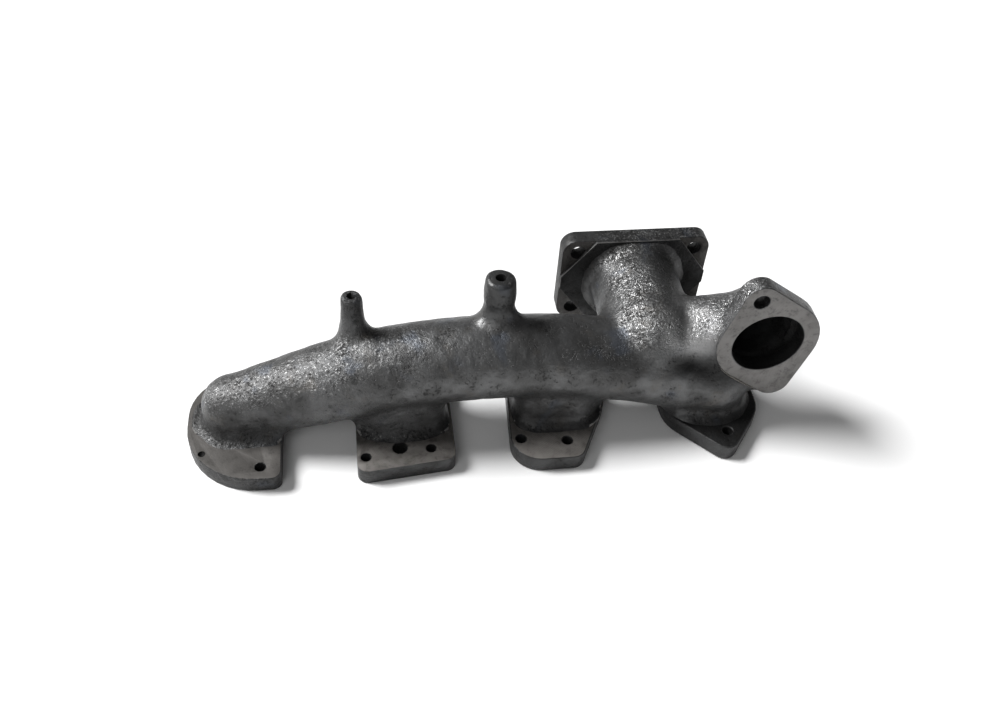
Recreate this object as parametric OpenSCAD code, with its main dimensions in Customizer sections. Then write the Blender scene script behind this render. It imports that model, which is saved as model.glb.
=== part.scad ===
// Four-port log exhaust manifold in cast iron. All sizes in millimetres.
// The origin is the centre of port 1 on the milled face that bolts to the cylinder head.
// X runs along the ports, Y runs towards the turbocharger flange, Z points away from the head.

/* [Ports] */
// Distance between neighbouring port centres
port_pitch = 110; // [109:0.5:111]
// Diameter of the gas passage at each port
port_bore_d = 30; // [26:0.5:31]
// Thickness of the four head flanges
head_flange_t = 12; // [11:0.5:13]

/* [Head flange bolt holes] */
// Diameter of the ordinary bolt holes
bolt_hole_d = 7; // [5:0.5:8]
// Diameter of the middle hole of flange 2
locating_hole_d = 10; // [6:0.5:10]
// Distance from the port row to the bolt holes behind the log
rear_hole_y = 35; // [34:0.5:36]

/* [Log] */
// Outside diameter of the log
log_d = 56; // [54:0.5:57]
// Diameter of the gas passage along the log
log_bore_d = 42; // [38:0.5:44]
// Diameter of the gas passage in the two closed ends
end_bore_d = 35; // [33:0.5:36]
// Height of the log axis above the head face at its highest point
log_crown_z = 58; // [57:0.5:59]
// Place of the highest point along the port row
log_crown_x = 175; // [172:0.5:178]
// Radius of the arc that the log axis follows
log_arc_r = 400; // [390:5:420]
// Length of the two middle runners along the log
runner_l = 58; // [54:1:60]
// Width of the two middle runners across the log
runner_w = 48; // [44:1:50]

/* [Turbocharger outlet] */
// Position of the outlet along the port row
turbo_x = 285; // [283:0.5:287]
// Height of the outlet axis above the head face
turbo_z = 60; // [59:0.5:61]
// Distance from the port row to the milled turbocharger face
turbo_face_y = 82; // [80:0.5:84]
// Width of the turbocharger flange
turbo_flange_w = 106; // [104:1:108]
// Height of the turbocharger flange
turbo_flange_h = 70; // [68:1:72]
// Thickness of the turbocharger flange at its middle
turbo_flange_t = 14; // [13:0.5:15]
// Depth of the four milled nut seats
nut_seat_depth = 2.5; // [1.5:0.5:4]
// Distance between the bolt holes along the width
turbo_hole_span_w = 84; // [82:1:86]
// Distance between the bolt holes along the height
turbo_hole_span_h = 50; // [48:1:52]
// Diameter of the turbocharger bolt holes
turbo_hole_d = 10.5; // [9:0.5:12]
// Outside diameter of the neck
neck_d = 62; // [60:0.5:63]
// Diameter of the gas passage in the neck
neck_bore_d = 50; // [44:0.5:52]

/* [Side branch] */
// Position of the side opening along the port row
branch_x = 354.5; // [353:0.5:356]
// Height of the side opening above the head face
branch_z = 76; // [75:0.5:77]
// Distance that the milled side face stands in front of the port row
branch_face_y = 20.5; // [20:0.5:22]
// Thickness of the side flange
branch_flange_t = 11.5; // [11:0.5:12]
// Diameter of the side opening
branch_opening_d = 48; // [44:0.5:49]
// Outside diameter of the slanting branch pipe
branch_d = 48; // [46:0.5:49]
// Diameter of the gas passage in the slanting branch pipe
branch_bore_d = 32; // [28:0.5:33]
// Outside diameter of the elbow behind the side flange
elbow_d = 55; // [54:0.5:56]
// Diameter of the gas passage in the elbow
elbow_bore_d = 44; // [40:0.5:46]
// Diameter of the bolt hole in the side flange
branch_hole_d = 10.5; // [8:0.5:11]

/* [Bosses] */
// Outside diameter of the small boss
small_boss_d = 13; // [12:0.5:15]
// Diameter of the hole in the small boss
small_boss_hole_d = 6; // [4:0.5:7]
// Height of the top of the small boss above the head face
small_boss_z = 107; // [104:0.5:110]
// Outside diameter of the large boss
large_boss_d = 20; // [18:0.5:22]
// Diameter of the hole in the large boss
large_boss_hole_d = 7; // [5:0.5:9]
// Height of the top of the large boss above the head face
large_boss_z = 118; // [114:0.5:120]

/* [Hidden] */
$fn = 64;

eps = 1;                       // how far a cutter runs past the face it cuts
lap = 5;                       // how far a passage runs past the end of its length
fit_reach = 60;                // how far the log is drawn each way where a piece is fitted to it
room = [600, 200, 200];        // a block larger than the whole manifold
plate_reach = 50;              // how far the side flange is drawn forward where a piece is fitted to it
branch_fit_x = 230;            // where the log is drawn from where the side branch is fitted to it
iron = "#77787a";
milled = "#a9a49c";

// Port centres along X
port_x = [for (i = [0:3]) i * port_pitch];

// The log axis is one arc over the port row
log_arc_z = log_crown_z - log_arc_r;

// Where the log is divided along X
log_cuts = [40, 76, 146, 188, 250, 318];

// The left end of the log tapers to a small ball, and the right end closes with a full one
left_ball_at = [3, 0, 26];
left_ball_d = 46;
left_end_d = 45;
left_cut_d = 51;
left_taper_to = log_point(log_cuts[0] + 4);
end_reach = 90;
right_ball_d = 57.5;
ball_bore_extra = 2;

// Where the passage narrows for the closed right end
bore_step_x = log_cuts[5] - 8;
bore_step_lap = 12;

// Bosses: place along X and Y, and the size of their flared roots
small_boss_at = [84.5, 12];
large_boss_at = [178.5, 10];
boss_root_h = 5;
boss_root_flare = 4;
boss_root_sink = 12;
boss_draft = 1;

// Middle of the turbocharger end of the log, where neck and branch start
junction_at = [turbo_x, 10, turbo_z];
junction_d = neck_d + 2;
junction_bore_d = neck_bore_d + 2;
turbo_back_y = turbo_face_y - turbo_flange_t;    // near side of the raised pad

// Outline of the side flange: radii of its tips and middle, reach and lean of its tips
branch_tip_r = 12;
branch_middle_r = 35;
branch_tip_reach = 39.5;
branch_tip_turn = 19.5;

// Side branch: the pipe runs from the junction to the elbow behind the side flange
branch_back_y = branch_flange_t - branch_face_y;
elbow_at = [branch_x - 1.5, -1, branch_z - 1];
pipe_from = [turbo_x, 12, 57];

// Points of the arc that rounds corner b between a and c with radius r
function unit(v) = v / norm(v);
function turned(v, angle) = [v.x * cos(angle) - v.y * sin(angle), v.x * sin(angle) + v.y * cos(angle)];
function corner_arc(a, b, c, r) =
    let (u = unit(a - b), v = unit(c - b),
         half = acos(u * v) / 2,
         start = b + u * r / tan(half),
         centre = b + unit(u + v) * r / sin(half),
         sweep = (180 - 2 * half) * sign(v.x * u.y - v.y * u.x),
         steps = ceil(abs(sweep) / 9))
    [for (i = [0:steps]) centre + turned(start - centre, sweep * i / steps)];

// Closed outline whose corners are given as [x, y, radius]
function rounded(corners) =
    let (n = len(corners), at = [for (c = corners) [c.x, c.y]])
    [for (i = [0:n - 1]) each corner_arc(at[(i + n - 1) % n], at[i], at[(i + 1) % n], corners[i][2])];

// Head flange: an outline of rounded corners about the port centre, bored for the gas and the bolts
module head_flange(port, corners, holes, hole_ds) {
    color(milled)
    translate([port_x[port - 1], 0, 0])
    difference() {
        linear_extrude(head_flange_t) polygon(rounded(corners));
        translate([0, 0, -eps]) cylinder(d = port_bore_d, h = head_flange_t + 2 * eps);
        for (i = [0:len(holes) - 1])
            translate([holes[i].x, holes[i].y, -eps])
                cylinder(d = hole_ds[i], h = head_flange_t + 2 * eps);
    }
}

// Half-moon flange under the closed left end of the log
module port_flange_1() {
    head_flange(1, [[33, -53, 6], [33, 42, 8], [-29, 42, 36], [-29, -53, 48]],
                [[20, -43], [4, rear_hole_y]], [bolt_hole_d, bolt_hole_d]);
}

// Rectangular flange, whose front edge runs a little askew
module port_flange_2() {
    head_flange(2, [[37, -47, 7], [37, 42, 8], [-28, 42, 8], [-28, -54, 7]],
                [[-22, -41], [0.5, -35], [21, -37], [4, rear_hole_y]],
                [bolt_hole_d, locating_hole_d, bolt_hole_d, bolt_hole_d]);
}

// Flange shaped as a rounded trapezoid
module port_flange_3() {
    head_flange(3, [[11, -53, 9], [36, -4, 20], [30, 42, 8], [-30, 42, 10], [-36, -53, 20]],
                [[-28, -34], [3, -38], [0, rear_hole_y]],
                [bolt_hole_d, bolt_hole_d, bolt_hole_d]);
}

// Pointed flange under the closed right end of the log
module port_flange_4() {
    head_flange(4, [[3, -59, 9], [34, -20, 28], [34, 16, 28], [3, 52, 9], [-34, 16, 28], [-34, -20, 28]],
                [[5.5, -39], [3, rear_hole_y]], [bolt_hole_d, bolt_hole_d]);
}

// Height of the log axis, and its direction from the middle of the arc, at a place along X
function log_z(x) = log_arc_z + sqrt(pow(log_arc_r, 2) - pow(x - log_crown_x, 2));
function log_angle(x) = 90 - asin((x - log_crown_x) / log_arc_r);

// Sweep a flat shape along the log's arc between two places along X
module along_log(x_from, x_to) {
    translate([log_crown_x, 0, log_arc_z]) rotate([90, 0, 0])
        rotate([0, 0, log_angle(x_to)])
            rotate_extrude(angle = log_angle(x_from) - log_angle(x_to), $fn = 360)
                translate([log_arc_r, 0]) children();
}

module log_rod(x_from, x_to, d) {
    along_log(x_from, x_to) circle(d = d);
}

// Everything between two cuts across the log
module log_slice(x_from, x_to) {
    along_log(x_from, x_to) square([160, 160], center = true);
}

module port_drill(port, z_from, z_to) {
    translate([port_x[port - 1], 0, z_from]) cylinder(d = port_bore_d, h = z_to - z_from);
}

// Runner between a middle flange and the log: an oblong column, hollowed and fitted under the log
module runner(port, shift_x) {
    half_l = runner_l / 2;
    half_w = runner_w / 2;
    corner_r = 19;
    runner_h = 34;
    color(iron)
    difference() {
        translate([port_x[port - 1] + shift_x, 0, head_flange_t])
            linear_extrude(runner_h)
                polygon(rounded([[half_l, -half_w, corner_r], [half_l, half_w, corner_r],
                                 [-half_l, half_w, corner_r], [-half_l, -half_w, corner_r]]));
        log_rod(port_x[port - 1] - fit_reach, port_x[port - 1] + fit_reach, log_d);
        port_drill(port, 0, log_crown_z);
    }
}

module port_runner_2() { runner(2, 4); }
module port_runner_3() { runner(3, -1); }

// Cone between two points, with a diameter at each
module taper(from, d_from, to, d_to) {
    way = to - from;
    translate(from)
        rotate([0, acos(way.z / norm(way)), atan2(way.y, way.x)])
            cylinder(d1 = d_from, d2 = d_to, h = norm(way));
}

module above_flanges() {
    translate([-room.x / 6, -room.y / 2, head_flange_t]) cube(room);
}

// Point of the log axis at a place along X
function log_point(x) = [x, 0, log_z(x)];

// Middle of the ball that closes the right end
right_ball_at = log_point(port_x[3] - 2);

// Closed left end: a taper with a small ball, cut flat where it sits on the half-moon flange
module log_end_1() {
    color(iron)
    difference() {
        intersection() {
            union() {
                taper(left_ball_at, left_end_d, left_taper_to, left_cut_d);
                translate(left_ball_at) sphere(d = left_ball_d);
            }
            log_slice(log_cuts[0] - end_reach, log_cuts[0]);
            above_flanges();
        }
        taper(left_ball_at, end_bore_d, left_taper_to, end_bore_d);
        translate(left_ball_at) sphere(d = end_bore_d + ball_bore_extra);
        port_drill(1, 0, left_ball_at.z);
    }
}

// Length that widens from the left end to the full log
module log_section_1() {
    widest = log_point(log_cuts[1] + 10);
    narrowest = log_point(log_cuts[0]) - 0.4 * (widest - log_point(log_cuts[0]));
    shrink = 2.4;
    color(iron)
    difference() {
        intersection() {
            taper(narrowest, left_cut_d - shrink, widest, log_d + 1);
            log_slice(log_cuts[0], log_cuts[1]);
        }
        taper(narrowest, end_bore_d - shrink, widest, log_bore_d + 1);
    }
}

// Closed right end: a ball over the fourth port
module log_end_4() {
    color(iron)
    difference() {
        intersection() {
            right_end_outside(log_cuts[5] - lap);
            log_slice(log_cuts[5], log_cuts[5] + end_reach);
            above_flanges();
        }
        log_rod(log_cuts[5] - lap, right_ball_at.x, end_bore_d);
        translate(right_ball_at) sphere(d = end_bore_d + ball_bore_extra);
        port_drill(4, 0, right_ball_at.z);
        pipe_rod(branch_bore_d);
        branch_plate(branch_back_y - plate_reach, branch_back_y);
    }
}

module log_length(x_from, x_to) {
    difference() {
        log_rod(x_from, x_to, log_d);
        log_rod(x_from - lap, x_to + lap, log_bore_d);
        children();
    }
}

// Length over the second port, open underneath
module log_tee_2() {
    color(iron) log_length(log_cuts[1], log_cuts[2]) {
        port_drill(2, 0, log_z(port_x[1]));
    }
}

// Top of the arch
module log_crown() {
    color(iron) log_length(log_cuts[2], log_cuts[3]);
}

// Length over the third port, open underneath
module log_tee_3() {
    color(iron) log_length(log_cuts[3], log_cuts[4]) {
        port_drill(3, 0, log_z(port_x[2]));
    }
}

module junction_ball(d) {
    translate(junction_at) sphere(d = d);
}

// Round bar along Y, centred on the turbocharger outlet
module neck_rod(d, y_from, y_to) {
    translate([turbo_x, y_from, turbo_z]) rotate([-90, 0, 0]) cylinder(d = d, h = y_to - y_from);
}

// Round bar along the slanting pipe of the side branch
module pipe_rod(d) {
    taper(pipe_from, d, elbow_at, d);
}

// Outside of the right end of the log, which the side branch is fitted to
module right_end_outside(x_from) {
    log_rod(x_from, right_ball_at.x, log_d);
    translate(right_ball_at) sphere(d = right_ball_d);
}

// Swollen length of the log where the neck and the side branch leave
module turbo_junction() {
    color(iron)
    difference() {
        intersection() {
            union() {
                log_rod(log_cuts[4], log_cuts[5], log_d);
                junction_ball(junction_d);
            }
            log_slice(log_cuts[4], log_cuts[5]);
            above_flanges();
        }
        branch_plate(branch_back_y - plate_reach, branch_back_y);
        log_rod(log_cuts[4] - lap, bore_step_x, log_bore_d);
        log_rod(bore_step_x - bore_step_lap, log_cuts[5] + lap, end_bore_d);
        junction_ball(junction_bore_d);
        neck_rod(neck_bore_d, junction_at.y, turbo_back_y);
        pipe_rod(branch_bore_d);
    }
}

// Round neck from the junction to the turbocharger flange
module turbo_neck() {
    color(iron)
    difference() {
        neck_rod(neck_d, junction_at.y, turbo_back_y + nut_seat_depth);
        log_rod(turbo_x - fit_reach, turbo_x + fit_reach, log_d);
        junction_ball(junction_d);
        neck_rod(neck_bore_d, -eps, turbo_face_y);
        pipe_rod(branch_bore_d);
    }
}

// Turbocharger flange: a plate with rounded corners, bored for the gas and for four studs
module turbo_flange() {
    half_w = turbo_flange_w / 2;
    half_h = turbo_flange_h / 2;
    corner_r = 10;
    color(milled)
    difference() {
        translate([turbo_x, turbo_face_y, turbo_z]) rotate([90, 0, 0])
            linear_extrude(turbo_flange_t - nut_seat_depth)
                polygon(rounded([[half_w, -half_h, corner_r], [half_w, half_h, corner_r],
                                 [-half_w, half_h, corner_r], [-half_w, -half_h, corner_r]]));
        neck_rod(neck_bore_d, 0, turbo_face_y + eps);
        for (side_x = [-0.5, 0.5], side_z = [-0.5, 0.5])
            translate([side_x * turbo_hole_span_w, 0, side_z * turbo_hole_span_h])
                neck_rod(turbo_hole_d, 0, turbo_face_y + eps);
    }
}

// Raised middle of the near side: the four corners are milled away as seats for the nuts
module turbo_flange_pad() {
    half_w = turbo_flange_w / 2;
    half_h = turbo_flange_h / 2;
    cut_w = 23;
    cut_h = 30;
    color(iron)
    difference() {
        translate([turbo_x, turbo_back_y, turbo_z]) rotate([-90, 0, 0])
            linear_extrude(nut_seat_depth)
                polygon([[half_w, cut_h - half_h], [half_w, half_h - cut_h],
                         [half_w - cut_w, half_h], [cut_w - half_w, half_h],
                         [-half_w, half_h - cut_h], [-half_w, cut_h - half_h],
                         [cut_w - half_w, -half_h], [half_w - cut_w, -half_h]]);
        neck_rod(neck_d, 0, turbo_face_y);
    }
}

// Slanting pipe of the side branch, fitted round its neighbours
module branch_pipe() {
    color(iron)
    difference() {
        pipe_rod(branch_d);
        junction_ball(junction_d);
        neck_rod(neck_d, junction_at.y, turbo_back_y);
        right_end_outside(branch_fit_x);
        round_ended_bar(elbow_d, elbow_at.y - branch_back_y);
        branch_plate(branch_back_y - plate_reach, branch_back_y);
        pipe_rod(branch_bore_d);
    }
}

// Bar along -Y with a round end behind: the shape of the elbow and of its passage
module round_ended_bar(d, reach) {
    r = d / 2;
    translate(elbow_at) rotate([90, 0, 0]) rotate_extrude()
        polygon([[0, reach], [r, reach], for (a = [0:7.5:90]) [r * cos(a), -r * sin(a)]]);
}

// Rounded elbow that turns the branch towards its flange
module branch_elbow() {
    color(iron)
    difference() {
        round_ended_bar(elbow_d, elbow_at.y - branch_back_y);
        right_end_outside(branch_fit_x);
        round_ended_bar(elbow_bore_d, elbow_at.y - branch_back_y + eps);
        pipe_rod(branch_bore_d);
    }
}

// Plate in the outline of the side flange: two long tips of small radius on a wide round middle
module branch_plate(y_from, y_to) {
    lean = acos((branch_middle_r - branch_tip_r) / branch_tip_reach);
    long_half = branch_middle_r / cos(lean);
    short_half = branch_middle_r / sin(lean);
    translate([branch_x, y_from, branch_z]) rotate([-90, -branch_tip_turn, 0])
        linear_extrude(y_to - y_from)
            polygon(rounded([[0, -long_half, branch_tip_r], [short_half, 0, branch_middle_r],
                             [0, long_half, branch_tip_r], [-short_half, 0, branch_middle_r]]));
}

// Drill along Y through the side flange, at a distance from its middle towards the upper tip
module branch_drill(reach, d) {
    translate([branch_x - reach * sin(branch_tip_turn), -branch_face_y - eps,
               branch_z + reach * cos(branch_tip_turn)])
        rotate([-90, 0, 0]) cylinder(d = d, h = branch_flange_t + 2 * eps);
}

// Diamond-shaped flange of the side branch
module branch_flange() {
    color(milled)
    difference() {
        branch_plate(-branch_face_y, branch_back_y);
        branch_drill(0, branch_opening_d);
        branch_drill(branch_tip_reach, branch_hole_d);
    }
}

// Root of a boss: a cone that flares down to the log and is fitted to it
module boss_root(at, d) {
    foot_z = log_z(at.x) + log_d / 2 - boss_root_sink;
    root_top = log_z(at.x) + log_d / 2 + boss_root_h;
    color(iron)
    difference() {
        translate([at.x, at.y, foot_z])
            cylinder(d1 = d + 2 * boss_root_flare, d2 = d + boss_draft, h = root_top - foot_z);
        log_rod(at.x - fit_reach, at.x + fit_reach, log_d);
    }
}

// Boss: a slim drilled post on top of its root
module boss(at, d, hole_d, top_z) {
    root_top = log_z(at.x) + log_d / 2 + boss_root_h;
    hole_depth = 16;
    color(iron)
    difference() {
        translate([at.x, at.y, root_top]) cylinder(d1 = d + boss_draft, d2 = d - boss_draft, h = top_z - root_top);
        translate([at.x, at.y, top_z - hole_depth]) cylinder(d = hole_d, h = hole_depth + eps);
    }
}

module small_boss() { boss(small_boss_at, small_boss_d, small_boss_hole_d, small_boss_z); }
module large_boss() { boss(large_boss_at, large_boss_d, large_boss_hole_d, large_boss_z); }
module small_boss_root() { boss_root(small_boss_at, small_boss_d); }
module large_boss_root() { boss_root(large_boss_at, large_boss_d); }

port_flange_1();
port_flange_2();
port_flange_3();
port_flange_4();
port_runner_2();
port_runner_3();
log_end_1();
log_section_1();
log_tee_2();
log_crown();
log_tee_3();
turbo_junction();
log_end_4();
turbo_neck();
turbo_flange();
turbo_flange_pad();
branch_pipe();
branch_elbow();
branch_flange();
small_boss();
small_boss_root();
large_boss();
large_boss_root();
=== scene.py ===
# %% [markdown]
# # A cast iron exhaust manifold
# The real object is one sand casting in grey iron. Four flanges bolt to the cylinder head, a bowed
# log collects the gas, a neck carries the turbocharger flange, and a side branch ends in a small
# flange. Only the flange faces and the holes are machined. The frame gives every node its place.
# The work here is to give the casting its soft blended skin and its two finishes.

# %% Load the frame
from contextlib import contextmanager
from math import asin, degrees, radians, sqrt

import bmesh
import bpy
from mathutils import Matrix, Vector


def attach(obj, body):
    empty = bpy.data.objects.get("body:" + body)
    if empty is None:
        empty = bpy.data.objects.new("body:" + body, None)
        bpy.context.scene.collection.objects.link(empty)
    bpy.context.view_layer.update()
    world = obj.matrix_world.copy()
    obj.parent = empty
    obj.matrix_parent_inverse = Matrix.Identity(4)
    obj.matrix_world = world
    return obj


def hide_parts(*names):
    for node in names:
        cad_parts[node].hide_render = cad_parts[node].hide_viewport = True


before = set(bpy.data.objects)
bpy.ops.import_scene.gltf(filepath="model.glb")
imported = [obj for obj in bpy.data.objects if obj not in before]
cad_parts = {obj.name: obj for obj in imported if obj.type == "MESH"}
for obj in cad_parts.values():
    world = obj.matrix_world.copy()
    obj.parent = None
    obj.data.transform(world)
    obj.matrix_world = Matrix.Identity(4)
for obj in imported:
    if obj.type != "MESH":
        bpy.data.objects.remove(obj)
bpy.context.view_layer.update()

# %% [markdown]
# ## The camera
# A lens of 36 mm on a sensor 36 mm wide looks down on the part at about 45 degrees, turned a little
# to the right and tilted slightly. Its place and its three turns are all that it needs. Making it
# first means that every later step can be judged from the same place.

# %% Place the camera
LOOK_DOWN = 45.06
LOOK_RIGHT = 10.52
TILT = 4.25
lens_place = Vector((0.0939, -0.4628, 0.5263))

camera_data = bpy.data.cameras.new("studio_camera")
camera_data.lens = 36
camera_data.sensor_width = 36
camera = bpy.data.objects.new("studio_camera", camera_data)
bpy.context.scene.collection.objects.link(camera)
turn = (Matrix.Rotation(radians(-LOOK_RIGHT), 4, "Z")
        @ Matrix.Rotation(radians(90 - LOOK_DOWN), 4, "X")
        @ Matrix.Rotation(radians(TILT), 4, "Z"))
camera.matrix_world = Matrix.Translation(lens_place) @ turn
bpy.context.scene.camera = camera
print("camera at", tuple(round(c, 3) for c in lens_place))

# %% [markdown]
# ## A few tools
# Every piece starts from a primitive, is shaped in edit mode, and is finished with modifiers.
# Operators act on whatever is selected, so each helper selects its own piece alone first.

# %% Selecting, editing and applying
MM = 0.001


def at(x, y, z):
    """A point given in millimetres, in the metres that Blender uses."""
    return Vector((x, y, z)) * MM


def only(*pieces):
    """Select these pieces alone. The last one is active."""
    bpy.ops.object.select_all(action="DESELECT")
    for piece in pieces:
        piece.select_set(True)
    bpy.context.view_layer.objects.active = pieces[-1]


@contextmanager
def editing(piece, kind="FACE"):
    """Edit mode on one piece, with nothing selected in it yet."""
    only(piece)
    bpy.ops.object.mode_set(mode="EDIT")
    bpy.ops.mesh.select_mode(type=kind)
    bpy.ops.mesh.select_all(action="DESELECT")
    yield bmesh.from_edit_mesh(piece.data)
    bpy.ops.object.mode_set(mode="OBJECT")


def pick(mesh, things, wanted):
    """Select the vertices, edges or faces that pass a test."""
    for thing in things:
        if wanted(thing):
            thing.select_set(True)
    mesh.select_flush_mode()


def finish_step(piece, kind, **settings):
    """Add one modifier and apply it."""
    only(piece)
    step = piece.modifiers.new(kind.lower(), kind)
    for name, value in settings.items():
        setattr(step, name, value)
    bpy.ops.object.modifier_apply(modifier=step.name)
    return piece


def made(name):
    """Name the new primitive, and put its place and turn into its mesh."""
    piece = bpy.context.active_object
    piece.name = name
    piece.data.name = name
    bpy.ops.object.transform_apply(location=True, rotation=True, scale=True)
    return piece


def joined(name, pieces):
    only(*pieces)
    bpy.ops.object.join()
    whole = bpy.context.active_object
    whole.name = name
    return whole


def copy_of(piece, name):
    """A copy with its own mesh, free of the frame's marks."""
    new = piece.copy()
    new.data = piece.data.copy()
    new.name = name
    new.data.name = name
    new.parent = None
    for mark in list(new.keys()):
        del new[mark]
    bpy.context.scene.collection.objects.link(new)
    return new


# %% [markdown]
# ## Writing a finish
# A finish is a small network of shader nodes. One class wraps a socket so that its maths reads
# like ordinary sums, and one method adds any other node.

# %% Shader sums
class Level:
    """A shader socket that can be used in sums."""

    def __init__(self, finish, socket):
        self.finish = finish
        self.socket = socket

    def sum_of(self, operation, first, second):
        return self.finish.node("Math", {"operation": operation}, {0: first, 1: second})

    def __add__(self, other):
        return self.sum_of("ADD", self, other)

    def __radd__(self, other):
        return self.sum_of("ADD", other, self)

    def __sub__(self, other):
        return self.sum_of("SUBTRACT", self, other)

    def __rsub__(self, other):
        return self.sum_of("SUBTRACT", other, self)

    def __mul__(self, other):
        return self.sum_of("MULTIPLY", self, other)

    def __rmul__(self, other):
        return self.sum_of("MULTIPLY", other, self)

    def __abs__(self):
        return self.sum_of("ABSOLUTE", self, 0.0)


class Finish:
    """A material and the one way to add nodes to it."""

    def __init__(self, name):
        self.material = bpy.data.materials.new(name)
        self.material.use_nodes = True
        self.tree = self.material.node_tree
        self.shader = self.tree.nodes["Principled BSDF"]

    def feed(self, socket, value):
        if isinstance(value, Level):
            self.tree.links.new(value.socket, socket)
        else:
            socket.default_value = value

    def node(self, kind, settings=None, sockets=None, out=0):
        new = self.tree.nodes.new("ShaderNode" + kind)
        for name, value in (settings or {}).items():
            setattr(new, name, value)
        for name, value in (sockets or {}).items():
            self.feed(new.inputs[name], value)
        return Level(self, new.outputs[out])

    def place(self):
        return self.node("TexCoord", out="Object")

    def axis(self, letter):
        return self.node("SeparateXYZ", None, {0: self.place()}, out=letter)

    def noise(self, scale, detail=2.0, rough=0.5):
        return self.node("TexNoise", None, {"Vector": self.place(), "Scale": scale,
                                            "Detail": detail, "Roughness": rough}, out="Fac")

    def facing(self, way):
        """How far the surface faces one way: 1 straight at it, 0 across it, -1 away from it."""
        normal = self.node("NewGeometry", out="Normal")
        return self.node("VectorMath", {"operation": "DOT_PRODUCT"}, {0: normal, 1: way}, out="Value")

    def near(self, middle, reach, most):
        """A soft round patch about a point on the object."""
        away = self.node("VectorMath", {"operation": "DISTANCE"},
                         {0: self.place(), 1: middle}, out="Value")
        return self.ramp(away, reach * 0.35, reach, most, 0.0)

    def ramp(self, value, low, high, to_low=0.0, to_high=1.0):
        """Move a value from one range to another, smoothly and clamped."""
        return self.node("MapRange", {"interpolation_type": "SMOOTHSTEP"},
                         {"Value": value, "From Min": low, "From Max": high,
                          "To Min": to_low, "To Max": to_high}, out="Result")

    def blend(self, factor, first, second):
        return self.node("Mix", {"data_type": "RGBA"}, {0: factor, 6: first, 7: second}, out=2)

    def bump(self, height, distance, strength=1.0):
        normal = self.node("Bump", None, {"Height": height, "Distance": distance,
                                          "Strength": strength}, out="Normal")
        self.feed(self.shader.inputs["Normal"], normal)


def grey(level, warm=0.0):
    return (level * (1 + warm), level, level * (1 - warm), 1)


# %% [markdown]
# ## Raw cast iron
# Sand leaves a fine open grain on the iron. Where the grain faces the light, painted glints light it
# up as a painted highlight. The skin is dark grey, with sooty patches, faint blue temper colours and
# small pits. The grain is coarser on the left half of the log, on the neck and on the branch, so its
# depth follows a mask. A painted shadow lies in the hollow under the branch, painted shade darkens
# the corner round the foot of each runner and the right side of the neck, the posts of the bosses
# are darker, and a painted sheen lightens the front of the branch. Each of these is a soft mask,
# worked out from the place on the object or from the way a face points, and it blends one grey over
# another.

# %% The raw finish
HOLLOW_FALL = 0.333
HOLLOW_START = 0.1607


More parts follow.
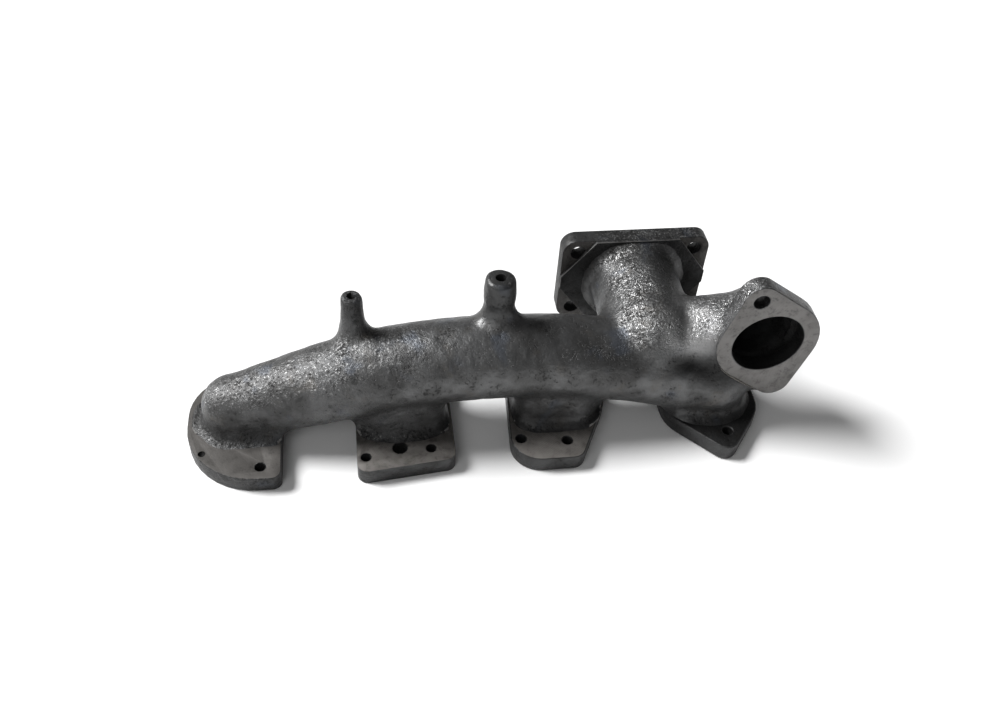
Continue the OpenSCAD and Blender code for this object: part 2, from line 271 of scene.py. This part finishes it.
def raw_finish(name, dark, light, painted_glint_grey, gloss):
    iron = Finish(name)
    along = iron.axis("X")
    height = iron.axis("Z")

    # Where the grain is coarse
    left = iron.ramp(along, 0.09, 0.17, 0.85, 0.12)
    neck = iron.ramp(along, 0.25, 0.27) * iron.ramp(height, 0.058, 0.078, 0.0, 0.95)

    # The hollow under the branch runs down to the right, and only its front gets the painted shadow
    off_hollow = height + along * HOLLOW_FALL - HOLLOW_START
    painted_shadow = (iron.ramp(abs(off_hollow), 0.001, 0.013, 0.92, 0.0)
            * iron.ramp(iron.axis("Y"), -0.013, -0.005, 1.0, 0.0)
            * iron.ramp(along, 0.276, 0.296))

    # Painted shade on the right side of the neck, a painted sheen on the front of the branch, the darker
    # posts, and painted shade at the foot of the casting
    painted_shade_side = (iron.ramp(iron.facing((0.72, -0.20, 0.66)), 0.60, 0.95)
           * iron.ramp(along, 0.303, 0.314, 1.0, 0.0))
    painted_sheen = iron.near((0.303, -0.008, 0.080), 0.026, 0.9)
    post = iron.ramp(height, 0.086, 0.098) * iron.ramp(along, 0.20, 0.22, 1.0, 0.0)
    blotch = iron.ramp(iron.noise(125, 1, 0.4), 0.30, 0.38, 0.5, 0.0)
    # Painted shade: the lowest part of the casting, round the foot of each runner, is painted darker
    corner = iron.ramp(height, 0.0135, 0.024, 0.55, 0.0)

    # Stains, grain and the painted glints on the grain
    slow = iron.noise(28, 3, 0.55)
    patch = iron.noise(85, 4, 0.6)
    grain = iron.noise(520, 3, 0.65)
    fine = iron.noise(1500, 2, 0.6)
    sandy = (left + neck) * iron.ramp(slow, 0.35, 0.62, 0.55, 1.0)
    # Faces turned toward the light, where the grain gets painted glints
    toward_light = iron.ramp(iron.facing((-0.45, -0.20, 0.87)), 0.50, 0.98)
    tone = iron.ramp(slow * 0.55 + patch * 0.45, 0.34, 0.66)
    colour = iron.blend(tone, grey(dark, 0.01), grey(light, -0.01))
    temper = iron.ramp(iron.noise(46, 2, 0.5), 0.60, 0.74, 0.0, 0.35)
    colour = iron.blend(temper, colour, (light * 0.75, light * 0.92, light * 1.25, 1))
    warm = iron.ramp(iron.noise(60, 3, 0.6), 0.56, 0.76, 0.0, 0.30)
    colour = iron.blend(warm, colour, (light * 0.95, light * 0.82, light * 0.66, 1))
    # Painted glints: grain facing the light is painted a light grey, a painted highlight, and made a
    # little glossier
    painted_glint = iron.ramp(fine * 0.4 + grain * 0.6 + neck * 0.035, 0.53, 0.66) * sandy * toward_light
    # Painted sheen: the front of the branch is painted a light grey, a painted highlight
    colour = iron.blend(painted_sheen, colour, grey(light * 2.6))
    colour = iron.blend(painted_glint * 0.85, colour, grey(painted_glint_grey))
    pits = iron.ramp(grain * 0.6 + patch * 0.4, 0.36, 0.44, 1.0, 0.0)
    colour = iron.blend(pits * 0.55, colour, grey(dark * 0.35))
    # Darker greys laid over the colour: the painted shadow under the branch, painted shade at the foot,
    # the darker posts, dark blotches on the left, and painted shade on the right side of the neck
    for mask, depth in ((painted_shadow, 0.2), (corner, 0.25), (post * 0.6, 0.5), (blotch * left, 0.4),
                        (painted_shade_side * neck * 0.75, 0.5)):
        colour = iron.blend(mask, colour, grey(dark * depth))
    iron.feed(iron.shader.inputs["Base Color"], colour)
    iron.feed(iron.shader.inputs["Roughness"], gloss - painted_glint * 0.16 - tone * 0.08 - neck * 0.08)
    iron.shader.inputs["Metallic"].default_value = 0.75
    iron.bump((grain * 0.9 + fine * 0.35) * sandy + patch * 0.9 - pits * 0.25, 0.0014, 0.85)
    return iron.material


# The third value is the light grey of the painted glints.
raw_iron = raw_finish("raw_iron", 0.055, 0.125, 0.60, 0.48)
# Painted shade: a darker copy of the raw finish, for the top of flange 4 and the turbo flange
painted_shade_iron = raw_finish("painted_shade_iron", 0.022, 0.055, 0.30, 0.60)
# Dark iron: the gas passage is sooty and deepened with painted shade, and the bolt and stud holes and
# the dimple are painted dark as shade
soot_and_shade_iron = raw_finish("soot_and_shade_iron", 0.010, 0.024, 0.05, 0.80)

# %% [markdown]
# ## Milled iron
# A milling cutter leaves fine arcs on a face, and handling leaves brown-grey stains. Rings whose
# middle lies far outside the flange make such arcs. They are shallow, so most of the look is in
# the stains and in the roughness. Flange 1 is painted darker as painted shade, and the flanges to
# the right of the crown are painted lighter as painted light.

# %% The milled finish
def milled_finish(name, dark, light, lay_centre, warm, painted_light=0.0):
    iron = Finish(name)
    aimed = iron.node("Mapping", {"vector_type": "POINT"},
                      {"Vector": iron.place(), "Location": [-c for c in lay_centre]})
    # Painted shade: flange 1, at the left end, is painted darker
    end = iron.ramp(iron.axis("X"), 0.0, 0.08, 1.0, 0.0)
    # Painted light: the flanges right of the crown are painted lighter, as much as the last argument
    # says
    middle = iron.ramp(iron.axis("X"), 0.15, 0.19)
    lay = iron.node("TexWave", {"wave_type": "RINGS", "rings_direction": "SPHERICAL"},
                    {"Vector": aimed, "Scale": 330.0, "Distortion": 1.2, "Detail": 2.0,
                     "Detail Scale": 0.6}, out="Fac")
    slow = iron.noise(40, 4, 0.6)
    stain = iron.noise(150, 5, 0.65)
    speck = iron.noise(900, 2, 0.6)
    tone = iron.ramp(slow * 0.5 + stain * 0.5, 0.36, 0.64)
    colour = iron.blend(tone, grey(dark, warm * 1.4), grey(light, warm))
    colour = iron.blend(lay * 0.16, colour, grey(light * 1.5, warm))
    dirt = iron.ramp(stain * 0.6 + speck * 0.4, 0.40, 0.47, 1.0, 0.0)
    colour = iron.blend(dirt * 0.5, colour, grey(dark * 0.45, warm))
    colour = iron.blend(end * 0.7, colour, grey(dark * 0.7, warm))
    colour = iron.blend(middle * painted_light, colour, grey(light * 1.9, warm))
    iron.feed(iron.shader.inputs["Base Color"], colour)
    iron.feed(iron.shader.inputs["Roughness"], 0.46 + stain * 0.16 - lay * 0.05)
    iron.shader.inputs["Metallic"].default_value = 0.4
    iron.bump(lay * 0.25 + speck * 0.35 + stain * 0.5, 0.0005, 0.5)
    return iron.material


# The last value lifts the flanges right of the crown with painted light.
milled_iron = milled_finish("milled_iron", 0.070, 0.130, (0.02, -0.11, 0), 0.06, 0.2)
ground_iron = milled_finish("ground_iron", 0.115, 0.18, (0.30, -0.02, 0.02), 0.03)
seat_iron = milled_finish("seat_iron", 0.055, 0.10, (0.20, 0.02, 0.10), 0.05)
# The front of the raised rim's step: milled, and painted much lighter as a painted highlight
milled_step_highlight = milled_finish("milled_step_highlight", 0.16, 0.30, (0.0, 0.0, 0.0), 0.02)
pad_edge = milled_finish("pad_edge", 0.06, 0.13, (0.0, 0.0, 0.0), 0.02)

# %% [markdown]
# ## Rods, balls and blocks
# The foundry pattern is built from a few turned and bent bars. A straight bar is a cone with two
# radii. The bowed log is a disc that is spun round the middle of its arc, which is how a bent bar
# is swept by hand.

# %% Primitives for the pattern
ARC_R = 400
CROWN_X = 175
CROWN_Z = 58


def log_z(x):
    return CROWN_Z - ARC_R + sqrt(ARC_R ** 2 - (x - CROWN_X) ** 2)


def on_log(x):
    return at(x, 0, log_z(x))


def rod(start, end, r_start, r_end=None):
    """A round bar between two points, with its radii in millimetres."""
    way = end - start
    bpy.ops.object.select_all(action="DESELECT")
    bpy.ops.mesh.primitive_cone_add(
        vertices=72, radius1=r_start * MM, radius2=(r_end or r_start) * MM, depth=way.length,
        location=(start + end) / 2, rotation=way.to_track_quat("Z", "Y").to_euler())
    return made("rod")


def ball(centre, r):
    bpy.ops.object.select_all(action="DESELECT")
    bpy.ops.mesh.primitive_uv_sphere_add(segments=72, ring_count=36, radius=r * MM, location=centre)
    return made("ball")


def block(low, high):
    bpy.ops.object.select_all(action="DESELECT")
    bpy.ops.mesh.primitive_cube_add(size=1, location=(low + high) / 2, scale=high - low)
    return made("block")


def bowed_bar(x_from, x_to, r):
    """A disc spun along the arc of the log."""
    slope = asin((CROWN_X - x_from) / ARC_R)
    bend = asin((x_to - CROWN_X) / ARC_R) + slope
    bpy.ops.object.select_all(action="DESELECT")
    bpy.ops.mesh.primitive_circle_add(vertices=72, radius=r * MM, fill_type="NGON",
                                      location=on_log(x_from), rotation=(0, radians(90) - slope, 0))
    bar = made("bowed_bar")
    with editing(bar) as mesh:
        bpy.ops.mesh.select_all(action="SELECT")
        bpy.ops.mesh.spin(steps=max(4, round(degrees(bend))), angle=-bend,
                          center=at(CROWN_X, 0, CROWN_Z - ARC_R), axis=(0, 1, 0))
        bpy.ops.mesh.select_all(action="SELECT")
        bpy.ops.mesh.remove_doubles(threshold=1e-6)
        bpy.ops.mesh.select_all(action="DESELECT")
        bpy.ops.mesh.select_mode(type="EDGE")
        bpy.ops.mesh.select_non_manifold()
        bpy.ops.mesh.fill_holes(sides=0)
        bpy.ops.mesh.select_all(action="SELECT")
        bpy.ops.mesh.normals_make_consistent(inside=False)
    return bar


# %% [markdown]
# ## Plates under the pattern
# A fillet can only form where the log meets a flange, so the pattern needs each flange's outline
# as a closed plate. A convex hull of the flange's own corners gives that outline without its holes.

# %% Closed plates from the flanges
def closed_plate(node, shift):
    plate = copy_of(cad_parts[node], "plate")
    with editing(plate, "VERT"):
        bpy.ops.mesh.select_all(action="SELECT")
        bpy.ops.mesh.convex_hull()
        bpy.ops.mesh.select_all(action="SELECT")
        bpy.ops.transform.translate(value=shift * MM)
    return plate


PORTS = [0, 110, 220, 330]
HEAD_TOP = 12
TURBO_X, TURBO_Z = 285, 60
TURBO_BACK = 68
BRANCH_BACK = -9
SIDE_X, SIDE_Z = 354.5, 76
UNDER = 0.8
print("the pattern's plates sit", UNDER, "mm behind the flanges that cover them")

# %% [markdown]
# ## The runners
# The two middle runners are oblong columns. Each is a block whose four upright edges are bevelled
# until its ends are nearly round. A short skirt is extruded from its foot: on the casting it is
# the raised rim that the milling cutter leaves round the foot of a runner.

# %% Runner columns with their skirts
RUNNER_L, RUNNER_W, RUNNER_CORNER = 58, 48, 19


def runner(x):
    column = block(at(x - RUNNER_L / 2, -RUNNER_W / 2, 4), at(x + RUNNER_L / 2, RUNNER_W / 2, 42))
    with editing(column, "EDGE") as mesh:
        pick(mesh, mesh.edges, lambda e: abs(e.verts[0].co.z - e.verts[1].co.z) > 0.01)
        bpy.ops.mesh.bevel(offset=RUNNER_CORNER * MM, segments=10)
    with editing(column) as mesh:
        pick(mesh, mesh.faces, lambda f: f.normal.z < -0.9)
        bpy.ops.mesh.extrude_region_move(TRANSFORM_OT_translate={"value": (0, 0, -0.004)})
    return column


# %% [markdown]
# ## The pattern
# All bars, balls, columns and plates are joined, and a voxel remesh turns them into one skin.
# Swelling that skin and shrinking it back fills every inner corner with an even fillet, just as
# the pattern maker's wax does, and leaves the outer corners alone. A last smoothing pass and a
# slow noise give the slightly uneven surface of a sand mould.

# %% Join the outside of the casting
LEFT_BALL = at(3, 0, 26)
RIGHT_BALL = on_log(PORTS[3] - 2)
JUNCTION = at(TURBO_X, 10, TURBO_Z)
ELBOW = at(353, -1, 75)
PIPE_START = at(TURBO_X, 12, 57)

SMALL_BOSS, SMALL_TOP = (84.5, 12), 107
LARGE_BOSS, LARGE_TOP = (178.5, 10), 118


def boss(place, r_foot, r_top, r_root, top, collar):
    """A tapered post with a slightly wider head, and a root that flares into the log."""
    x, y = place
    crest = log_z(x) + 28
    return [rod(at(x, y, crest - 20), at(x, y, top), r_foot, r_top),
            rod(at(x, y, top - 17), at(x, y, top), r_top + collar, r_top + collar * 0.4),
            rod(at(x, y, crest - 14), at(x, y, crest + 7), r_root, r_foot)]


outside = [
    ball(LEFT_BALL, 21.2),
    rod(LEFT_BALL, on_log(44), 20.6, 25.0), ball(on_log(44), 25.0),
    rod(on_log(44), on_log(86), 25.2, 28.1),
    bowed_bar(84, 328, 28), ball(RIGHT_BALL, 28.75),
    ball(JUNCTION, 32),
    rod(JUNCTION, at(TURBO_X, 74, TURBO_Z), 31),
    rod(PIPE_START, ELBOW, 24), ball(ELBOW, 27.5),
    rod(ELBOW, at(353, -12, 75), 27.5),
    runner(PORTS[1] + 4), runner(PORTS[2] - 1),
    *[closed_plate("port_flange_%d" % port, Vector((0, 0, -UNDER))) for port in (1, 2, 3, 4)],
    closed_plate("turbo_flange_pad", Vector((0, UNDER, 0))),
    closed_plate("turbo_flange", Vector((0, UNDER, 0))),
    closed_plate("branch_flange", Vector((0, -UNDER, 0))),
]
outside += boss(SMALL_BOSS, 9.2, 7.2, 12.5, SMALL_TOP, 0)
outside += boss(LARGE_BOSS, 10.8, 9.8, 15.5, LARGE_TOP, 1.2)
skin = joined("casting", outside)
print("pattern pieces joined:", len(outside))

# %% Blend the corners
FILLET = 6.0
VOXEL = 1.5
FINE_VOXEL = 1.2
finish_step(skin, "REMESH", mode="VOXEL", voxel_size=VOXEL * MM)
for growth in (FILLET, -FILLET):
    finish_step(skin, "DISPLACE", mid_level=0, strength=growth * MM)
    finish_step(skin, "REMESH", mode="VOXEL", voxel_size=VOXEL * MM)
finish_step(skin, "SMOOTH", factor=0.5, iterations=8)
print("skin after blending:", len(skin.data.polygons), "faces")

# %% [markdown]
# ## Rims and parting ridges
# The milling cutter cleans only the front and back of a head flange. Between the two the cast
# surface stands about a millimetre proud, with a crisp step at its edge. The two halves of the
# mould also leave a low ridge along each side of the neck. Both are added after the corners were
# blended, so that they stay sharp.

# %% Add the small raised features
def rim(port_x, x_low, x_high, y_low, y_high, corner):
    """The cast surface left standing on a head flange."""
    plate = block(at(port_x + x_low, y_low, 8), at(port_x + x_high, y_high, HEAD_TOP + 1.3))
    with editing(plate, "EDGE") as mesh:
        pick(mesh, mesh.edges, lambda e: abs(e.verts[0].co.z - e.verts[1].co.z) > 0.002)
        bpy.ops.mesh.bevel(offset=corner * MM, segments=8)
    return plate


raised = [
    rim(PORTS[0], -26, 30, -14.5, 20, 13),
    rim(PORTS[1], -26.5, 35.5, -24.5, 25, 9),
    rim(PORTS[2], -31, 31, -27.5, 25, 15),
    rim(PORTS[3], -25, 25, -30, 30, 18),
    rod(at(TURBO_X - 30.6, 20, TURBO_Z), at(TURBO_X - 30.6, 66, TURBO_Z), 1.7),
    rod(at(TURBO_X + 30.6, 34, TURBO_Z), at(TURBO_X + 30.6, 66, TURBO_Z), 1.7),
]
skin = joined("casting", raised + [skin])
finish_step(skin, "REMESH", mode="VOXEL", voxel_size=FINE_VOXEL * MM)
finish_step(skin, "SMOOTH", factor=0.5, iterations=3)
skin.data.materials.clear()
skin.data.materials.append(raw_iron)
print("skin with its ridges:", len(skin.data.polygons), "faces")

# %% Roughen it slightly
mould = bpy.data.textures.new("mould_waviness", "CLOUDS")
mould.noise_scale = 0.012
mould.noise_depth = 2
finish_step(skin, "DISPLACE", texture=mould, texture_coords="LOCAL", mid_level=0.5, strength=0.9 * MM)

# %% [markdown]
# ## The gas passage
# The core that forms the passage is made the same way, from slimmer bars. It is remeshed too, so
# its corners are soft, and then taken out of the skin with a boolean.

# %% Join the core
core_parts = [
    ball(LEFT_BALL, 18.5), rod(LEFT_BALL, on_log(44), 17.5, 18), rod(on_log(40), on_log(86), 17.5, 21.5),
    bowed_bar(80, 312, 21), bowed_bar(298, 328, 17.5), ball(RIGHT_BALL, 18.5),
    ball(JUNCTION, 26), rod(JUNCTION, at(TURBO_X, 90, TURBO_Z), 25),
    rod(PIPE_START, ELBOW, 16), ball(ELBOW, 22.5), rod(ELBOW, at(354, -6, 75.6), 22.5, 25.2),
    rod(at(SIDE_X, -6, SIDE_Z), at(SIDE_X, -40, SIDE_Z), 25.4),
]
core_parts += [rod(at(x, 0, -8), at(x, 0, log_z(x) - 6), 15) for x in PORTS]
core = joined("core", core_parts)
finish_step(core, "REMESH", mode="VOXEL", voxel_size=VOXEL * MM)
finish_step(core, "SMOOTH", factor=0.5, iterations=4)
# The passage walls get the dark iron: soot, deepened with painted shade
core.data.materials.clear()
core.data.materials.append(soot_and_shade_iron)
print("core:", len(core.data.polygons), "faces")


def take_away(piece, cutter):
    """Cut one closed shape out of a piece. The cut faces keep the cutter's material."""
    finish_step(piece, "BOOLEAN", operation="DIFFERENCE", object=cutter, solver="MANIFOLD",
                material_mode="TRANSFER")
    bpy.data.objects.remove(cutter)


take_away(skin, core)
print("materials after the core is out:", [m.name for m in skin.data.materials])

# %% [markdown]
# ## Trimming to the flanges
# The pattern runs on under the flanges, so it is cut flat where they begin. The side flange stands
# in front of the log, so only its own outline is cut out. The bosses are faced flat and drilled.

# %% Cut flat and drill
take_away(skin, block(at(-120, -150, -30), at(480, 200, HEAD_TOP)))
take_away(skin, block(at(200, TURBO_BACK, 13), at(380, 140, 130)))
front_plate = closed_plate("branch_flange", Vector((0, 0, 0)))
with editing(front_plate, "VERT") as mesh:
    pick(mesh, mesh.verts, lambda v: v.co.y < (BRANCH_BACK - 4) * MM)
    bpy.ops.transform.translate(value=(0, -0.05, 0))
take_away(skin, front_plate)
for (x, y), top, hole_r in ((SMALL_BOSS, SMALL_TOP, 3), (LARGE_BOSS, LARGE_TOP, 3.5)):
    take_away(skin, block(at(x - 20, y - 20, top - 0.4), at(x + 20, y + 20, top + 30)))
    take_away(skin, rod(at(x, y, top - 16), at(x, y, top + 5), hole_r))
only(skin)
bpy.ops.object.shade_smooth_by_angle(angle=radians(40))
print("trimmed skin:", len(skin.data.polygons), "faces")

# %% [markdown]
# ## Dividing the casting
# The frame has one node for each region of the casting, so the skin is divided the same way. Each
# cut would show as a faint line, because shading restarts at an edge. The shading of the whole
# skin is therefore copied onto every piece, and the cuts vanish.

# %% Part off the regions
regions = {}


def part_off(name, cutter):
    """The share of the skin inside the cutter becomes its own piece."""
    piece = copy_of(rest, name)
    finish_step(piece, "BOOLEAN", operation="INTERSECT", object=cutter, solver="MANIFOLD")
    finish_step(rest, "BOOLEAN", operation="DIFFERENCE", object=cutter, solver="MANIFOLD")
    bpy.data.objects.remove(cutter)
    regions[name] = piece


rest = copy_of(skin, "rest")


def boss_room(place, low, high):
    return block(at(place[0] - 22, place[1] - 22, low), at(place[0] + 22, place[1] + 22, high))


for size, place in (("small", SMALL_BOSS), ("large", LARGE_BOSS)):
    crest = log_z(place[0]) + 28
    part_off("cast_" + size + "_boss", boss_room(place, crest + 5, 140))
    part_off("cast_" + size + "_boss_root", boss_room(place, crest - 2, crest + 6))
part_off("cast_turbo_neck", block(at(240, 34, 0), at(335, 90, 140)))
part_off("cast_branch_elbow", block(at(336, -60, 50), at(420, 60, 130)))
part_off("cast_branch_pipe", block(at(317, -60, 54), at(337, 60, 130)))
part_off("cast_runner_2", block(at(76, -60, 0), at(150, 60, 30)))
part_off("cast_runner_3", block(at(186, -60, 0), at(252, 60, 30)))
for name, low, high in (("cast_log_end_1", -60, 40), ("cast_log_section_1", 39, 76),
                        ("cast_log_tee_2", 75, 146), ("cast_log_crown", 145, 188),
                        ("cast_log_tee_3", 187, 250), ("cast_turbo_junction", 249, 318),
                        ("cast_log_end_4", 317, 420)):
    part_off(name, block(at(low, -90, -10), at(high, 120, 150)))
bpy.data.objects.remove(rest)

for piece in regions.values():
    only(piece)
    bpy.ops.object.shade_smooth()
    finish_step(piece, "DATA_TRANSFER", object=skin, use_loop_data=True,
                data_types_loops={"CUSTOM_NORMAL"}, loop_mapping="NEAREST_POLYNOR")
    print(piece.name, len(piece.data.polygons), "faces")
bpy.data.objects.remove(skin)

# %% [markdown]
# ## The flanges
# The flanges are plates with holes. The frame's own solids have the right outline, so a copy of
# each is merged into clean faces and its sharp edges are rounded a little. The faces that were
# milled are given the machined finish later. The cast side walls keep the raw one, and on the turbo
# flange and its pad they carry painted shade.

# %% Round the edges of the plates
def flange(node, edge):
    piece = copy_of(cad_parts[node], "plate_" + node)
    with editing(piece, "VERT"):
        bpy.ops.mesh.select_all(action="SELECT")
        bpy.ops.mesh.remove_doubles(threshold=1e-6)
        bpy.ops.mesh.dissolve_limited(angle_limit=radians(0.3))
    finish_step(piece, "BEVEL", width=edge * MM, segments=3, limit_method="ANGLE",
                angle_limit=radians(40), use_clamp_overlap=True)
    only(piece)
    bpy.ops.object.shade_smooth_by_angle(angle=radians(35))
    print(piece.name, len(piece.data.polygons), "faces")
    return piece


head_flanges = [flange("port_flange_%d" % n, 1.0) for n in (1, 2, 3, 4)]
DIMPLE = at(-18, -29, 12.9)
DIMPLE_R = 2.6
take_away(head_flanges[0], ball(DIMPLE, DIMPLE_R))
turbo_plate = flange("turbo_flange", 0.9)
turbo_pad = flange("turbo_flange_pad", 0.5)
side_plate = flange("branch_flange", 1.0)

# %% [markdown]
# ## Putting the finishes on
# The casting is raw all over. On a flange, the faces that point straight along its axis are
# milled, so they are selected by their normal and given the second material.

# %% Assign the finishes
def paint(piece, base, faces=None, second=None):
    """Give a piece a finish all over, and a second one on the faces that pass a test."""
    if base:
        piece.data.materials.clear()
        piece.data.materials.append(base)
    if not faces:
        return
    piece.data.materials.append(second)
    with editing(piece) as mesh:
        pick(mesh, mesh.faces, faces)
        piece.active_material_index = len(piece.data.materials) - 1
        bpy.ops.object.material_slot_assign()


for piece in head_flanges[:3]:
    paint(piece, raw_iron, lambda f: abs(f.normal.z) > 0.97, milled_iron)
# Painted shade in the dimple
paint(head_flanges[0], None, lambda f: (f.calc_center_median() - at(-18, -29, 12)).length < 3.2 * MM,
      soot_and_shade_iron)
paint(head_flanges[3], raw_iron, lambda f: f.normal.z < -0.97, milled_iron)
# Painted shade: the top of flange 4 is painted darker
paint(head_flanges[3], None, lambda f: f.normal.z > 0.97, painted_shade_iron)


def in_hole(f, x, z, r):
    """A face on the wall of a hole that runs along Y."""
    middle = f.calc_center_median()
    return abs(f.normal.y) < 0.5 and (middle.xz - Vector((x, z)) * MM).length < r * MM


SIDE_BOLT = (341.3, 113.2)
STUDS = [(TURBO_X + side * 42, TURBO_Z + height * 25) for side in (-1, 1) for height in (-1, 1)]
# Painted shade: the turbo flange is painted darker, and its faces along Y are milled
paint(turbo_plate, painted_shade_iron, lambda f: abs(f.normal.y) > 0.97, seat_iron)
# Painted shade on the walls of the stud holes
paint(turbo_plate, None, lambda f: any(in_hole(f, x, z, 6.5) for x, z in STUDS), soot_and_shade_iron)
# Painted shade: the turbo pad is painted darker, and its step wall is milled
paint(turbo_pad, painted_shade_iron, lambda f: -0.9 < f.normal.y < -0.2, pad_edge)
paint(side_plate, raw_iron, lambda f: f.normal.y < -0.97, ground_iron)
# Soot and painted shade in the bore, and painted shade on the wall of the bolt hole
paint(side_plate, None, lambda f: in_hole(f, SIDE_X, SIDE_Z, 26) or in_hole(f, *SIDE_BOLT, 8), soot_and_shade_iron)
# Painted highlight: the front of the raised rim's step gets the light milled grey
for name in ("cast_runner_2", "cast_runner_3", "cast_log_end_1", "cast_log_end_4"):
    paint(regions[name], None, lambda f: f.calc_center_median().z < 0.0132 and -0.2 < f.normal.z < 0.75
          and f.normal.y < -0.2, milled_step_highlight)

# %% [markdown]
# ## Joining the frame
# Each finished piece rides on the one body of the frame and stands for its node.

# %% Ride and replace
STANDS_FOR = {
    "cast_log_end_1": "log_end_1", "cast_log_section_1": "log_section_1",
    "cast_log_tee_2": "log_tee_2", "cast_log_crown": "log_crown", "cast_log_tee_3": "log_tee_3",
    "cast_turbo_junction": "turbo_junction", "cast_log_end_4": "log_end_4",
    "cast_turbo_neck": "turbo_neck", "cast_branch_pipe": "branch_pipe",
    "cast_branch_elbow": "branch_elbow", "cast_runner_2": "port_runner_2",
    "cast_runner_3": "port_runner_3", "cast_small_boss": "small_boss",
    "cast_small_boss_root": "small_boss_root", "cast_large_boss": "large_boss",
    "cast_large_boss_root": "large_boss_root",
}
for name, node in STANDS_FOR.items():
    piece = regions[name]
    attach(piece, "root")
    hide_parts(node)
for piece in head_flanges + [turbo_plate, turbo_pad, side_plate]:
    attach(piece, "root")
    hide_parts(piece.name.removeprefix("plate_"))
    "raw_iron" if piece == turbo_pad else "milled_iron"
print("pieces that ride:", len(STANDS_FOR) + 7)

# %% [markdown]
# ## Floor and light
# The part stands on its head face on a plain pale floor. One broad soft light comes from high on
# the left and behind, which draws the highlight along the neck and the top of the log. It is a sun
# with a wide disc, so that the floor is equally pale all round. A weak lamp near the camera keeps
# the front readable, and the sky adds a little even light.

# %% Set up the studio
bpy.ops.object.select_all(action="DESELECT")
bpy.ops.mesh.primitive_plane_add(size=30, location=(0.16, 0, -0.0004))
floor = made("studio_floor")
paper = Finish("pale_paper")
paper.shader.inputs["Base Color"].default_value = (0.88, 0.88, 0.88, 1)
paper.shader.inputs["Roughness"].default_value = 0.9
floor.data.materials.append(paper.material)

sky = bpy.data.worlds.new("pale_sky")
bpy.context.scene.world = sky
sky.use_nodes = True
sky.node_tree.nodes["Background"].inputs["Color"].default_value = (1, 1, 1, 1)
sky.node_tree.nodes["Background"].inputs["Strength"].default_value = 0.13
bpy.context.scene.view_settings.view_transform = "Standard"


def soft_lamp(name, place, size, power):
    data = bpy.data.lights.new(name, "AREA")
    data.shape = "SQUARE"
    data.size = size
    data.energy = power
    lamp = bpy.data.objects.new(name, data)
    bpy.context.scene.collection.objects.link(lamp)
    aim = Vector((0.17, 0, 0.04)) - Vector(place)
    lamp.matrix_world = Matrix.Translation(place) @ aim.to_track_quat("-Z", "Y").to_matrix().to_4x4()


TO_THE_SUN = Vector((-0.84, 0.32, 0.90))
main = bpy.data.objects.new("main_light", bpy.data.lights.new("main_light", "SUN"))
main.data.energy = 5.6
main.data.angle = radians(26)
main.matrix_world = TO_THE_SUN.to_track_quat("Z", "Y").to_matrix().to_4x4()
bpy.context.scene.collection.objects.link(main)
soft_lamp("front_lamp", (-0.45, -1.0, 1.0), 0.8, 4)
